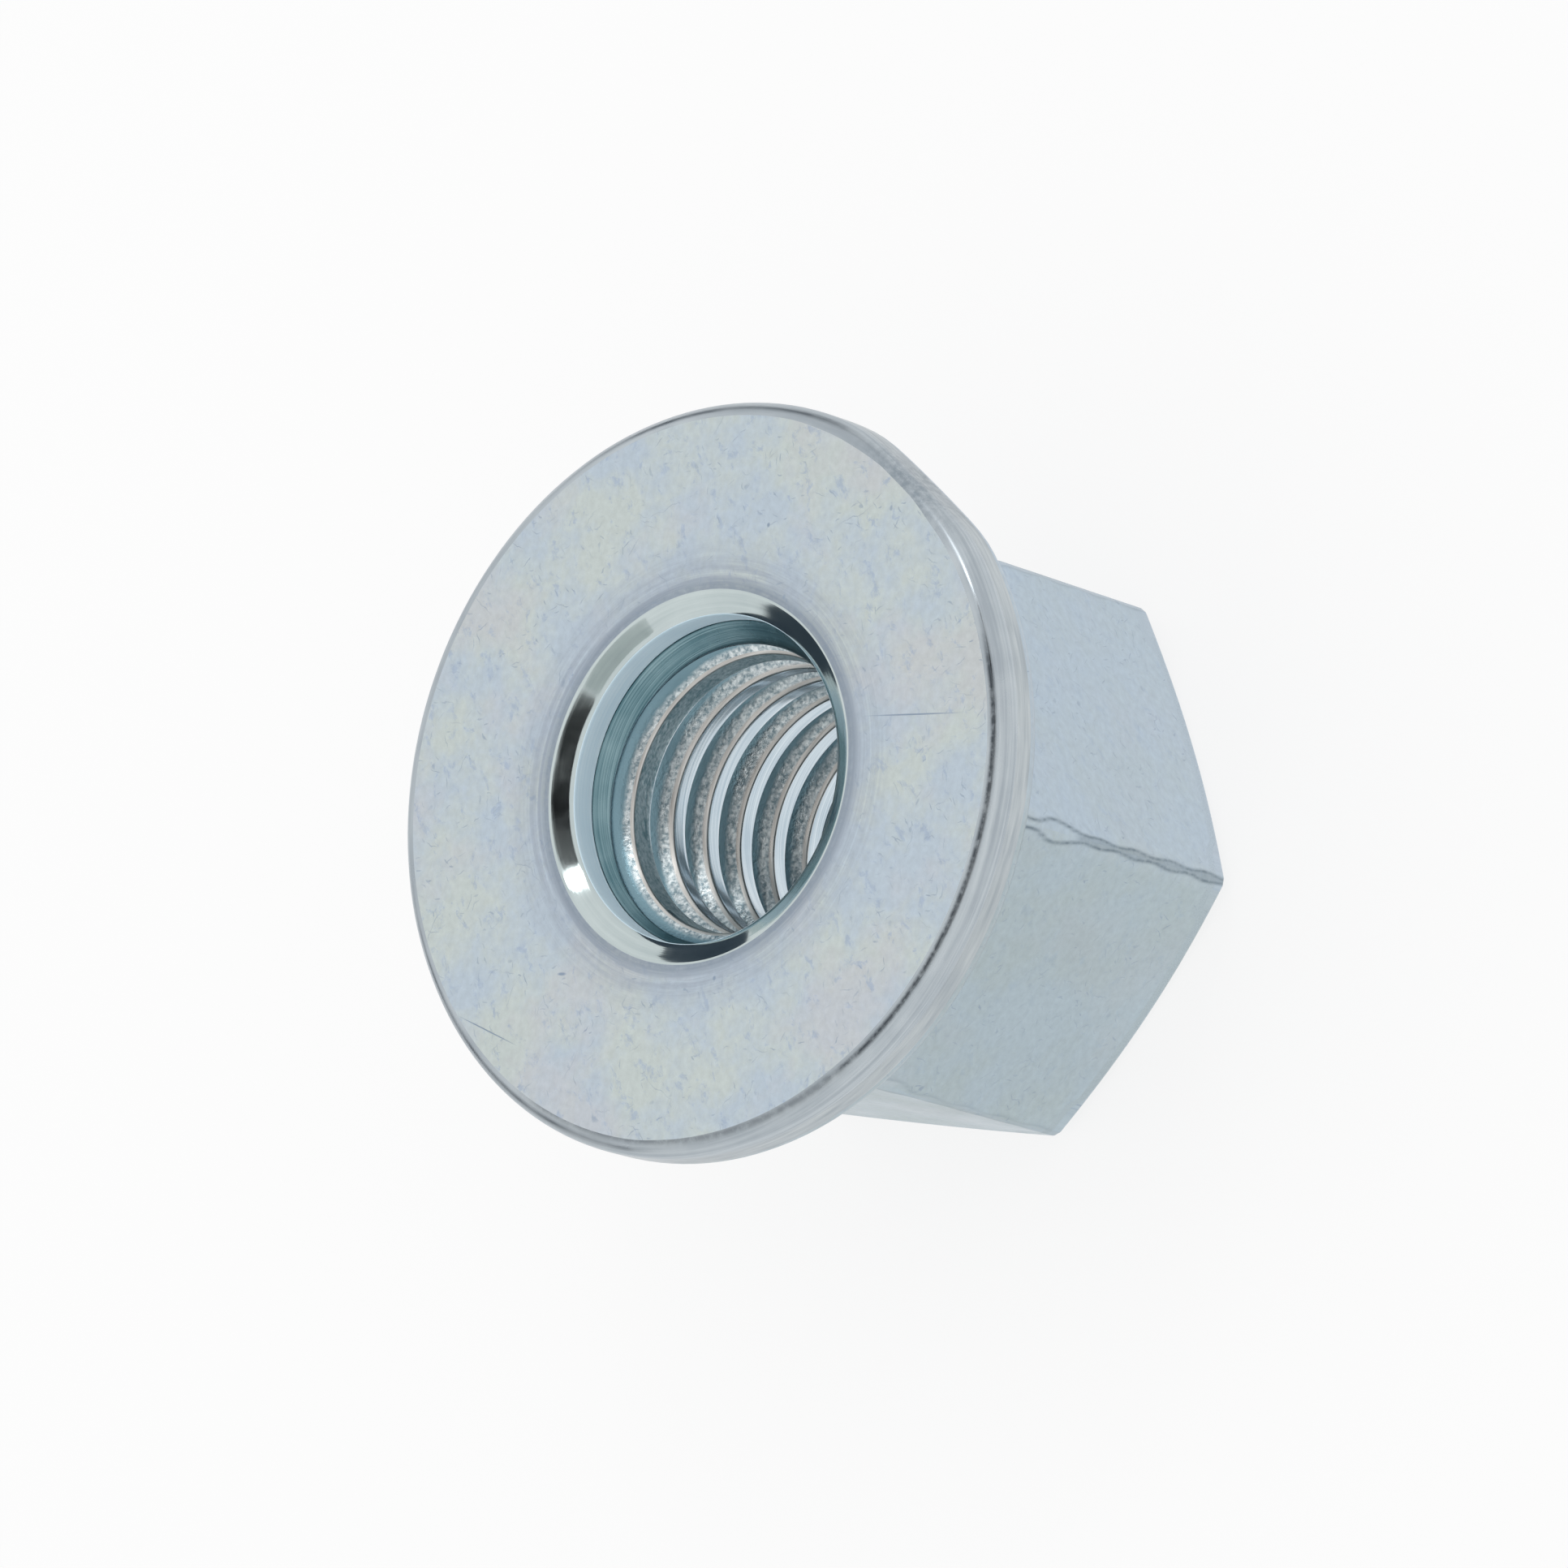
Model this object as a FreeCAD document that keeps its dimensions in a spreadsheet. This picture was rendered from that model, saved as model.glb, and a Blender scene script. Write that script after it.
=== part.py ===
# Hexagon nut with a flange, M6, one and a half diameters high, forged and tapped in one piece.
# It stands on its hexagon end. The origin is the centre of that end, and +Z runs up the bore
# to the flat bearing face of the flange. The hexagon has its flats across X.
import FreeCAD, Part
import math
import os
import Sketcher

Vector = FreeCAD.Vector

# Driving dimensions, in mm and degrees.
SIZES = [
    ("acrossFlats", 10.0),
    ("flangeWidth", 2.0),          # from the flats out to the rim, so the flange is 14 mm across
    ("rimHeight", 1.0),            # the flange at its outer edge
    ("flangeSlope", 25.0),         # back of the flange, measured from its plane
    ("bearingEdgeRadius", 0.3),    # between the bearing face and the rim
    ("rimBackChamfer", 0.25),      # between the rim and the back of the flange
    ("nutHeight", 9.0),            # hexagon end to bearing face
    ("cornerRadius", 0.15),        # the six upright edges
    ("neckRadius", 0.5),           # where the hexagon grows out of the flange
    ("endFaceInset", 0.4),         # from the flats in to the flat ring of the hexagon end
    ("endChamferAngle", 20.0),     # from that ring out to the corners, measured from the end face
    ("threadDiameter", 6.0),       # across the roots
    ("threadPitch", 1.0),
    ("threadAngle", 60.0),
    ("threadStart", 0.51),         # height of a root where it crosses +X
    ("crestDepth", 0.45),          # from the roots in to the crests
    ("reliefClearance", 0.1),      # by which the plain wall of the mouth is wider than the thread
    ("reliefDepth", 0.75),         # of that wall's end, below the bearing face
    ("crestTaper", 40.0),          # half angle of the cone in which the first crest is cut off
    ("mouthWidth", 0.4),           # countersink at the bearing face, on each side
    ("mouthAngle", 120.0),         # its included angle
    ("endMouthWidth", 0.25),       # by which the other countersink is wider than the thread
]

ROOT_SHARE = 1 / 8      # of the pitch, the flat at the root of a metric thread
TOLERANCE = 1e-4

doc = FreeCAD.newDocument("FlangeNut")

sheet = doc.addObject("Spreadsheet::Sheet", "sizes")
for row, (alias, value) in enumerate(SIZES, start=1):
    sheet.set("A%d" % row, alias)
    sheet.set("B%d" % row, str(value))
    sheet.setAlias("B%d" % row, alias)
doc.recompute()

body = doc.addObject("PartDesign::Body", "FlangeNut")
body.Label = "flange_nut"


def size(alias):
    return float(sheet.get(alias))


def worth(expression):
    # What an expression of the sheet comes to now, in mm.
    return float(flangeSection.evalExpression(expression))


def sketchOn(name, role):
    # An empty sketch on one of the body's own planes.
    sketch = body.newObject("Sketcher::SketchObject", name)
    plane = next(feature for feature in body.Origin.OriginFeatures if feature.Role == role)
    sketch.AttachmentSupport = [(plane, "")]
    sketch.MapMode = "FlatFace"
    return sketch


def closedOutline(name, role, corners):
    # A closed sketch of straight lines. Each corner's two coordinates are held to expressions
    # of the sheet.
    sketch = sketchOn(name, role)
    places = [[float(sketch.evalExpression(text)) for text in corner] for corner in corners]
    for index, (x, y) in enumerate(places):
        nextX, nextY = places[(index + 1) % len(places)]
        sketch.addGeometry(Part.LineSegment(Vector(x, y, 0), Vector(nextX, nextY, 0)))
    for index, corner in enumerate(corners):
        following = (index + 1) % len(corners)
        sketch.addConstraint(Sketcher.Constraint("Coincident", index, 2, following, 1))
        for kind, text, place in zip(("DistanceX", "DistanceY"), corner, places[index]):
            held = sketch.addConstraint(Sketcher.Constraint(kind, -1, 1, index, 1, place))
            sketch.setExpression("Constraints[%d]" % held, text)
    return sketch


def quarteredCircle(name, role, radius):
    # A circle round the origin, drawn as four quarter arcs. Each arc's centre and ends are held.
    sketch = sketchOn(name, role)
    start = float(sketch.evalExpression(radius))
    for quarter in range(4):
        circle = Part.Circle(Vector(0, 0, 0), Vector(0, 0, 1), start)
        first = quarter * math.pi / 2
        sketch.addGeometry(Part.ArcOfCircle(circle, first, first + math.pi / 2))
    for quarter in range(4):
        sketch.addConstraint(Sketcher.Constraint("Coincident", quarter, 3, -1, 1))
        sketch.addConstraint(Sketcher.Constraint("Coincident", quarter, 2, (quarter + 1) % 4, 1))
        sketch.addConstraint(Sketcher.Constraint("PointOnObject", quarter, 1, -1 - quarter % 2))
    held = sketch.addConstraint(Sketcher.Constraint("Radius", 0, start))
    sketch.setExpression("Constraints[%d]" % held, radius)
    return sketch


def turned(kind, name, sketch):
    # A sketch turned once round the bore's axis, as added or removed metal.
    feature = body.newObject(kind, name)
    feature.Profile = sketch
    feature.ReferenceAxis = (sketch, ["V_Axis"])
    feature.Angle = 360
    feature.Refine = False
    doc.recompute()
    return feature


def dressed(kind, name, measure, value, picked):
    # A fillet or a chamfer on the edges of the present solid that the function picked accepts.
    base = body.Tip
    names = ["Edge%d" % (i + 1) for i, edge in enumerate(base.Shape.Edges) if picked(edge)]
    feature = body.newObject(kind, name)
    feature.Base = (base, names)
    feature.setExpression(measure, value)
    doc.recompute()
    return feature


def isRing(edge, radius, height):
    # True for an edge that is a circle round the axis, of this radius and at this height.
    curve = edge.Curve
    return (
        isinstance(curve, Part.Circle)
        and abs(curve.Radius - radius) < TOLERANCE
        and abs(curve.Center.z - height) < TOLERANCE
    )


# The flange: a disc whose back is a shallow cone that runs into the hexagon.
rim = "(sizes.acrossFlats / 2 + sizes.flangeWidth)"
rimBack = "(sizes.nutHeight - sizes.rimHeight)"
flangeSection = closedOutline("FlangeSection", "XZ_Plane", [
    ("0", "sizes.nutHeight"),
    (rim, "sizes.nutHeight"),
    (rim, rimBack),
    ("0", rimBack + " - " + rim + " * tan(sizes.flangeSlope)"),
])
turned("PartDesign::Revolution", "Flange", flangeSection)
dressed("PartDesign::Fillet", "BearingEdge", "Radius", "sizes.bearingEdgeRadius", lambda edge: isRing(
    edge, worth(rim), size("nutHeight")))
dressed("PartDesign::Chamfer", "RimBack", "Size", "sizes.rimBackChamfer", lambda edge: isRing(
    edge, worth(rim), worth(rimBack)))

# The hexagon, from its end up into the flange.
hexagonOutline = closedOutline("HexagonOutline", "XY_Plane", [
    ("sizes.acrossFlats / sqrt(3) * cos(%d)" % angle, "sizes.acrossFlats / sqrt(3) * sin(%d)" % angle)
    for angle in range(30, 390, 60)
])
hexagon = body.newObject("PartDesign::Pad", "Hexagon")
hexagon.Profile = hexagonOutline
hexagon.setExpression("Length", rimBack)
doc.recompute()


def isUprightCorner(edge):
    low, high = edge.BoundBox.ZMin, edge.BoundBox.ZMax
    straight = isinstance(edge.Curve, Part.Line)
    return straight and low < TOLERANCE and high - low > edge.Length - TOLERANCE


def isNeck(edge):
    # True for an edge between the hexagon and the cone behind the rim.
    belowRim = edge.BoundBox.ZMin > TOLERANCE and edge.BoundBox.ZMax < worth(rimBack) - TOLERANCE
    return belowRim and edge.BoundBox.XLength < size("acrossFlats") + TOLERANCE


dressed("PartDesign::Fillet", "Corners", "Radius", "sizes.cornerRadius", isUprightCorner)
dressed("PartDesign::Fillet", "Neck", "Radius", "sizes.neckRadius", isNeck)

# The corners of the hexagon end are turned off at a shallow angle.
endFace = "(sizes.acrossFlats / 2 - sizes.endFaceInset)"
endChamferSection = closedOutline("EndChamferSection", "XZ_Plane", [
    (endFace, "0"),
    (rim, "0"),
    (rim, "(" + rim + " - " + endFace + ") * tan(sizes.endChamferAngle)"),
])
turned("PartDesign::Groove", "EndChamfer", endChamferSection)

# The bore, across the crests of the thread. Its wall is in four quarters, so that each quarter
# turn of crest is a face of its own.
crest = "(sizes.threadDiameter / 2 - sizes.crestDepth)"
boreOutline = quarteredCircle("BoreOutline", "XY_Plane", crest)
bore = body.newObject("PartDesign::Pocket", "Bore")
bore.Profile = boreOutline
bore.Reversed = True
bore.Type = "ThroughAll"
bore.Refine = False
doc.recompute()

# The mouth at the bearing face: a countersink, a short plain wall and a cone down to the bore.
relief = "(sizes.threadDiameter / 2 + sizes.reliefClearance / 2)"
mouthDepth = "sizes.mouthWidth / tan(sizes.mouthAngle / 2)"
taperLength = "(" + relief + " - " + crest + ") / tan(sizes.crestTaper)"
mouthSection = closedOutline("MouthSection", "XZ_Plane", [
    ("0", "sizes.nutHeight - sizes.reliefDepth - " + taperLength),
    (crest, "sizes.nutHeight - sizes.reliefDepth - " + taperLength),
    (relief, "sizes.nutHeight - sizes.reliefDepth"),
    (relief, "sizes.nutHeight - " + mouthDepth),
    (relief + " + sizes.mouthWidth", "sizes.nutHeight"),
    ("0", "sizes.nutHeight"),
])
turned("PartDesign::Groove", "Mouth", mouthSection)

# The 90 degree countersink at the hexagon end.
endMouth = "(sizes.threadDiameter / 2 + sizes.endMouthWidth)"
endMouthSection = closedOutline("EndMouthSection", "XZ_Plane", [
    ("0", "0"),
    (endMouth, "0"),
    ("0", endMouth),
])
turned("PartDesign::Groove", "EndMouth", endMouthSection)

# The thread: a right-hand groove of 60 degrees with a flat root. It starts two pitches below the
# hexagon end and runs on past the bearing face, so that it fades out in both mouths.
grooveHeight = "sizes.threadStart - 2 * sizes.threadPitch"
rootHalf = "sizes.threadPitch * %g" % (ROOT_SHARE / 2)
openDepth = "(2 * sizes.crestDepth)"
openHalf = rootHalf + " + " + openDepth + " * tan(sizes.threadAngle / 2)"
grooveSection = closedOutline("GrooveSection", "XZ_Plane", [
    ("sizes.threadDiameter / 2 - " + openDepth, grooveHeight + " - (" + openHalf + ")"),
    ("sizes.threadDiameter / 2", grooveHeight + " - " + rootHalf),
    ("sizes.threadDiameter / 2", grooveHeight + " + " + rootHalf),
    ("sizes.threadDiameter / 2 - " + openDepth, grooveHeight + " + " + openHalf),
])
thread = body.newObject("PartDesign::SubtractiveHelix", "Thread")
thread.Profile = grooveSection
thread.ReferenceAxis = (grooveSection, ["V_Axis"])
thread.Mode = 0
thread.LeftHanded = False
thread.Reversed = False
thread.Refine = False
thread.setExpression("Pitch", "sizes.threadPitch")
thread.setExpression("Height", "sizes.nutHeight - (" + grooveHeight + ")")
doc.recompute()

for item in doc.Objects:
    if "Invalid" in item.State or "Error" in item.State:
        raise RuntimeError("%s did not compute: %s" % (item.Name, item.State))
if body.Shape.isNull() or not body.Shape.isValid() or len(body.Shape.Solids) != 1:
    raise RuntimeError("the nut is not one valid solid")

os.makedirs("parts", exist_ok=True)
body.Shape.exportStep(os.path.join("parts", body.Label + ".step"))
print("%s: %.2f mm3" % (body.Label, body.Shape.Volume))
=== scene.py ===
# A zinc-plated M6 flange nut, seen on its bearing face. Sizes in the dictionaries are in millimetres
# and degrees, and Blender's own are in metres. The bore's axis is Z, and heights run up from the
# hexagon end to the bearing face.
import math

import bpy
from mathutils import Matrix, Vector


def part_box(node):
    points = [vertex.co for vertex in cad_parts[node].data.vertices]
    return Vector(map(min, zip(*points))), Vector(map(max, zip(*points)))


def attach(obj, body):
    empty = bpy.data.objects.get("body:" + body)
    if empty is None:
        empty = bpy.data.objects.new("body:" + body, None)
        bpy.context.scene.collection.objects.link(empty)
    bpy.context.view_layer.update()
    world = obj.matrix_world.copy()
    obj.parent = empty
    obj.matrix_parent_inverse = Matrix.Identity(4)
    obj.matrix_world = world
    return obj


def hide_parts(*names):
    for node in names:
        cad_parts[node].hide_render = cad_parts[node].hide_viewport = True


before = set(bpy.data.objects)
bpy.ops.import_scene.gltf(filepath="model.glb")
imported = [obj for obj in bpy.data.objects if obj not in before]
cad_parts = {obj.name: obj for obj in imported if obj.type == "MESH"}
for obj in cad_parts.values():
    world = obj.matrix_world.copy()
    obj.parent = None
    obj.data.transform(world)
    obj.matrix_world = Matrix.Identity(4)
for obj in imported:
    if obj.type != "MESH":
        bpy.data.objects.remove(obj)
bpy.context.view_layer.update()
print("frame loaded:", sorted(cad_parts))

mm = 0.001
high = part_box("flange_nut")[1]


def linear(hexColour):
    # an sRGB hex colour as the linear one that the shaders take
    parts = [int(hexColour[k:k + 2], 16) / 255 for k in (1, 3, 5)]
    return [c / 12.92 if c <= 0.04045 else ((c + 0.055) / 1.055) ** 2.4 for c in parts] + [1.0]


# The camera stands in front of the bearing face and a little below the bore's axis.
shot = {
    "frame": 1932,               # pixels across the square photograph
    "focal": 13530,              # in those pixels
    "distance": 199.4,           # from the middle of the bearing face
    "tilt": 40.46,               # between the bore's axis and the line of sight
    "turn": -99.3,               # azimuth of the camera round the nut
    "roll": 16.72,               # by which the bore's axis falls to the right in the picture
    "middle": (858.6, 956.6),    # of the bearing face, in those pixels
}
tilt, turn, roll = (math.radians(shot[key]) for key in ("tilt", "turn", "roll"))
upward = Vector((0, 0, 1))
towardCamera = Vector((math.cos(turn), math.sin(turn), 0))
sideways = Vector((math.sin(turn), -math.cos(turn), 0))
faceMiddle = upward * high.z


def makeCamera():
    lineOfSight = upward * math.cos(tilt) + towardCamera * math.sin(tilt)
    alongAxis = towardCamera * math.cos(tilt) - upward * math.sin(tilt)
    right = alongAxis * math.cos(roll) - sideways * math.sin(roll)
    down = alongAxis * math.sin(roll) + sideways * math.cos(roll)
    place = faceMiddle + lineOfSight * shot["distance"] * mm
    pixel = shot["distance"] / shot["focal"] * mm
    offset = [shot["frame"] / 2 - c for c in shot["middle"]]
    aim = faceMiddle + (right * offset[0] + down * offset[1]) * pixel
    back = (place - aim).normalized()
    right = (right - back * right.dot(back)).normalized()
    camera = bpy.data.objects.new("camera", bpy.data.cameras.new("camera"))
    bpy.context.scene.collection.objects.link(camera)
    turned = Matrix((right, back.cross(right), back)).transposed()
    camera.matrix_world = Matrix.Translation(place) @ turned.to_4x4()
    camera.data.lens = shot["focal"] / shot["frame"] * camera.data.sensor_width
    camera.data.clip_start = 0.01
    camera.data.clip_end = 10
    bpy.context.scene.camera = camera
    print("camera at", [round(c, 4) for c in place])


makeCamera()


def startMaterial(name, metallic=0.0, rough=0.5, colour="#ffffff"):
    # a new material, and the function that adds its nodes
    material = bpy.data.materials.new(name)
    material.use_nodes = True
    tree = material.node_tree
    shader = tree.nodes["Principled BSDF"].inputs
    shader["Metallic"].default_value = metallic
    shader["Roughness"].default_value = rough
    shader["Base Color"].default_value = linear(colour)

    def addNode(kind, inputs=(), output=0, **settings):
        # The inputs are values or other nodes' outputs, in order or by name. It gives back one of
        # the node's own outputs, or all of them where output is None.
        node = tree.nodes.new("ShaderNode" + kind)
        for key, value in settings.items():
            setattr(node, key, value)
        for key, value in inputs.items() if isinstance(inputs, dict) else enumerate(inputs):
            if isinstance(value, bpy.types.NodeSocket):
                tree.links.new(value, node.inputs[key])
            else:
                node.inputs[key].default_value = value
        return node.outputs if output is None else node.outputs[output]

    return material, addNode


def finishMaterial(material, addNode, colour, rough, height, depth):
    # the colour, the roughness and a relief of this depth reach the shader
    bump = addNode("Bump", {"Height": height, "Distance": depth * mm, "Strength": 1.0})
    tree = material.node_tree
    for name, value in (("Base Color", colour), ("Roughness", rough), ("Normal", bump)):
        tree.links.new(value, tree.nodes["Principled BSDF"].inputs[name])
    return material


def placeOnNut(addNode):
    # the object's own coordinates, in millimetres
    inputs = {"Vector": addNode("TexCoord", output="Object"), "Scale": (mm, mm, mm)}
    return addNode("Mapping", inputs, vector_type="TEXTURE")


def distanceOut(addNode, place):
    # how far from the bore's axis
    inPlan = addNode("VectorMath", (place, (1, 1, 0)), operation="MULTIPLY")
    return addNode("VectorMath", (inPlan,), "Value", operation="LENGTH")


def grains(size, detail, rough):
    # the inputs of a noise pattern, from the size of its grains
    return {"Scale": 1 / size, "Detail": detail, "Roughness": rough}


def layered(addNode, colour, layers):
    # colours laid over one another, each in its own share
    for share, hexColour in layers:
        colour = addNode("Mix", {0: share, 6: colour, 7: linear(hexColour)}, 2, data_type="RGBA")
    return colour


def largest(addNode, values):
    result = values[0]
    for value in values[1:]:
        result = addNode("Math", (result, value), operation="MAXIMUM")
    return result


def dashes(addNode, place, angle, length, width, share):
    # Straight scratches in one direction. Each cell of a stretched pattern may hold one.
    cellPerDash = 4.5
    mapped = addNode("Mapping", {
        "Vector": place, "Scale": (length * cellPerDash, width * cellPerDash, 1),
        "Rotation": (0, 0, math.radians(angle)), "Location": (angle * 0.37, angle * 0.11, 0),
    }, vector_type="TEXTURE")
    inputs = {"Vector": mapped, "Scale": 1.0}
    cells = addNode("TexVoronoi", inputs, None, voronoi_dimensions="2D", feature="F1")
    line = addNode("MapRange", (cells["Distance"], 0.06, 0.12, 1.0, 0.0))
    chosen = addNode("Math", (cells["Color"], share), operation="LESS_THAN")
    return addNode("Math", (line, chosen), operation="MULTIPLY")


def singleMark(addNode, place, x, y, angle, halfLength, halfWidth):
    # one long or round mark with soft ends
    mapped = addNode("Mapping", {
        "Vector": place, "Scale": (halfLength, halfWidth, 1),
        "Rotation": (0, 0, math.radians(angle)), "Location": (x, y, 0),
    }, vector_type="TEXTURE")
    away = addNode("VectorMath", (mapped,), "Value", operation="LENGTH")
    return addNode("MapRange", (away, 0.5, 1.1, 1.0, 0.0))


# Bright zinc plate on forged steel, tumbled: a satin, bluish silver skin in faint blue, green and
# pink patches, with short scratches and small pits. It covers the bearing face and the flats.
skin = {
    "blue": "#bfccd7",
    "tints": [
        # colour, most of it, noise where it starts and is full, size, detail and roughness of the
        # noise, its stretch, its turn in radians and its shift
        ("#cbd4d2", 1.0, (0.42, 0.58), (2.2, 5.0, 0.62), (1, 1, 1), 0.0, (0, 0, 0)),
        ("#cbcdd1", 0.6, (0.50, 0.64), (2.75, 4.0, 0.6), (1, 1, 1), 1.0, (31, 17, 0)),
        ("#a6b6cc", 0.6, (0.56, 0.64), (1 / 3.4, 6.0, 0.72), (1.6, 1, 1), 0.7, (5, 3, 0)),
    ],
    "waves": (0.625, 5.0, 0.5),       # size, detail and roughness of the waves that bend the patterns
    "bend": 0.5,
    "speckle": (0.16, 4.0, 0.65),     # the same three for the fine grain
    "speckleShade": (0.92, 1.05),
    # painted shade: the flats toward -X are given a darker grey, those toward +X a lighter blue
    "paintedFlatShades": [                    # X where it starts and is full, colour
        (0.3, -0.3, "#acbcc3"),
        (-0.3, 0.3, "#b3c3d1"),
    ],
    "paintedFlatShadeShare": 0.7,
    "ring": "#a6b0bd",                # the rubbed ring round the mouth
    "ringEdges": (4.5, 3.6),          # radius where it starts and is full
    "ringLines": 14.0,                # per millimetre
    "hem": "#8b97a4",                 # the narrow ring inside it
    "hemEdges": (3.74, 3.56),
    "scratch": "#94a3b5",
    "scratches": [                    # direction, length, width, share of the cells that hold one
        (12, 0.24, 0.024, 0.25),
        (41, 0.16, 0.028, 0.3),
        (76, 0.34, 0.020, 0.2),
        (103, 0.13, 0.030, 0.3),
        (139, 0.24, 0.022, 0.25),
        (163, 0.60, 0.018, 0.15),
        (58, 1.10, 0.018, 0.08),
        (118, 0.90, 0.018, 0.08),
    ],
    "fade": (1 / 1.1, 4.0, 0.6),      # noise by which the scratches come and go
    "fadeShares": (0.05, 0.65),
    "pitCell": 1.25,
    "pitEdges": (0.025, 0.05),        # in cells, from its middle
    "pitShare": 0.35,                 # of the cells that hold one
    "marks": [                        # place on the face, direction, half length, half width
        (4.70, -0.68, 0, 0.05, 0.04),
        (-3.83, 2.39, -85, 0.11, 0.035),
        (-3.64, -1.20, 0, 0.05, 0.04),
        (1.43, -4.74, -85, 1.1, 0.016),
        (-5.00, 3.94, -106, 0.8, 0.013),
    ],
    # painted shade along the sides of each corner's worn strip
    "cornerShadeLine": "#77858f",
    "rough": (0.30, 0.44),            # from the blue patches to the green ones
    "speckleRelief": 0.6,
    "scratchRelief": 0.4,
    "depth": 0.004,
}


def makeSkin():
    material, addNode = startMaterial("tumbledZinc", metallic=1.0)
    place = placeOnNut(addNode)
    flat = addNode("UVMap", output="UV", uv_map="unrolled")
    waves = addNode("TexNoise", {"Vector": flat, **grains(*skin["waves"])}, "Color")
    bend = (skin["bend"], skin["bend"], 0)
    bent = addNode("VectorMath", (waves, bend, flat), operation="MULTIPLY_ADD")
    speckle = addNode("TexNoise", {"Vector": flat, **grains(*skin["speckle"])}, "Fac")

    layers = []
    patterns = []
    for colour, most, (start, full), noise, stretch, turned, shift in skin["tints"]:
        inputs = {"Vector": bent, "Scale": stretch, "Rotation": (0, 0, turned), "Location": shift}
        mapped = addNode("Mapping", inputs, vector_type="TEXTURE")
        patterns.append(addNode("TexNoise", {"Vector": mapped, **grains(*noise)}, "Fac"))
        layers.append((addNode("MapRange", (patterns[-1], start, full, 0.0, most)), colour))
    split = addNode("SeparateXYZ", (place,), None)
    onFlats = addNode("MapRange", (split["Z"], nut["height"] - 0.3, nut["height"] - 0.7))
    # painted shade on the flats, darker toward -X and bluer toward +X
    for start, full, colour in skin["paintedFlatShades"]:
        side = addNode("MapRange", (split["X"], start, full))
        share = addNode("Math", (side, onFlats), operation="MULTIPLY")
        layers.append((addNode("Math", (share, skin["paintedFlatShadeShare"]), operation="MULTIPLY"), colour))

    reach = distanceOut(addNode, place)
    circles = addNode("Math", (reach, skin["ringLines"]), operation="MULTIPLY")
    circles = addNode("CombineXYZ", (circles,))
    circles = addNode("VectorMath", (place, (0, 0.5, 0.5), circles), operation="MULTIPLY_ADD")
    rubbed = addNode("TexNoise", {"Vector": circles, **grains(1, 4.0, 0.7)}, "Fac")
    rubbed = addNode("MapRange", (rubbed, 0.3, 0.62))
    inRing = addNode("MapRange", (reach, *skin["ringEdges"]))
    layers.append((addNode("Math", (inRing, rubbed), operation="MULTIPLY"), skin["ring"]))
    inHem = addNode("MapRange", (reach, *skin["hemEdges"]))
    grainy = addNode("MapRange", (speckle, 0.3, 0.6, 0.35, 0.8))
    layers.append((addNode("Math", (inHem, grainy), operation="MULTIPLY"), skin["hem"]))
    colour = layered(addNode, linear(skin["blue"]), layers)
    shade = addNode("MapRange", (speckle, 0.3, 0.7, *skin["speckleShade"]))
    colour = addNode("Mix", {0: 1.0, 6: colour, 7: shade}, 2, data_type="RGBA", blend_type="MULTIPLY")

    lines = [dashes(addNode, bent, *scratch) for scratch in skin["scratches"]]
    inputs = {"Vector": bent, "Scale": 1 / skin["pitCell"]}
    cells = addNode("TexVoronoi", inputs, None, voronoi_dimensions="2D")
    pit = addNode("MapRange", (cells["Distance"], *skin["pitEdges"], 1.0, 0.0))
    chosen = addNode("Math", (cells["Color"], skin["pitShare"]), operation="LESS_THAN")
    pits = addNode("Math", (pit, chosen), operation="MULTIPLY")
    scratches = largest(addNode, lines + [pits])
    fade = addNode("TexNoise", {"Vector": flat, **grains(*skin["fade"])}, "Fac")
    fade = addNode("MapRange", (fade, 0.4, 0.62, *skin["fadeShares"]))
    faded = addNode("Math", (scratches, fade), operation="MULTIPLY")
    marks = [singleMark(addNode, flat, *mark) for mark in skin["marks"]]
    # painted shade along the corners' worn strips, broken up by the grain; it also sinks them a little
    corner = addNode("Attribute", output="Fac", attribute_name="cornerShadeLine")
    broken = addNode("MapRange", (speckle, 0.25, 0.6, 0.35, 1.0))
    paintedDarkening = addNode("Math", (corner, broken), operation="MULTIPLY")
    dark = largest(addNode, [faded] + marks)
    colour = layered(addNode, colour, [(dark, skin["scratch"]), (paintedDarkening, skin["cornerShadeLine"])])

    rough = addNode("MapRange", (patterns[0], 0.35, 0.65, *skin["rough"]))
    shallow = addNode("Math", (scratches, skin["scratchRelief"]), operation="MULTIPLY")
    sunk = largest(addNode, [shallow, corner] + marks)
    raised = addNode("Math", (speckle, skin["speckleRelief"]), operation="MULTIPLY")
    relief = addNode("Math", (raised, sunk), operation="SUBTRACT")
    return finishMaterial(material, addNode, colour, rough, relief, skin["depth"])


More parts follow.
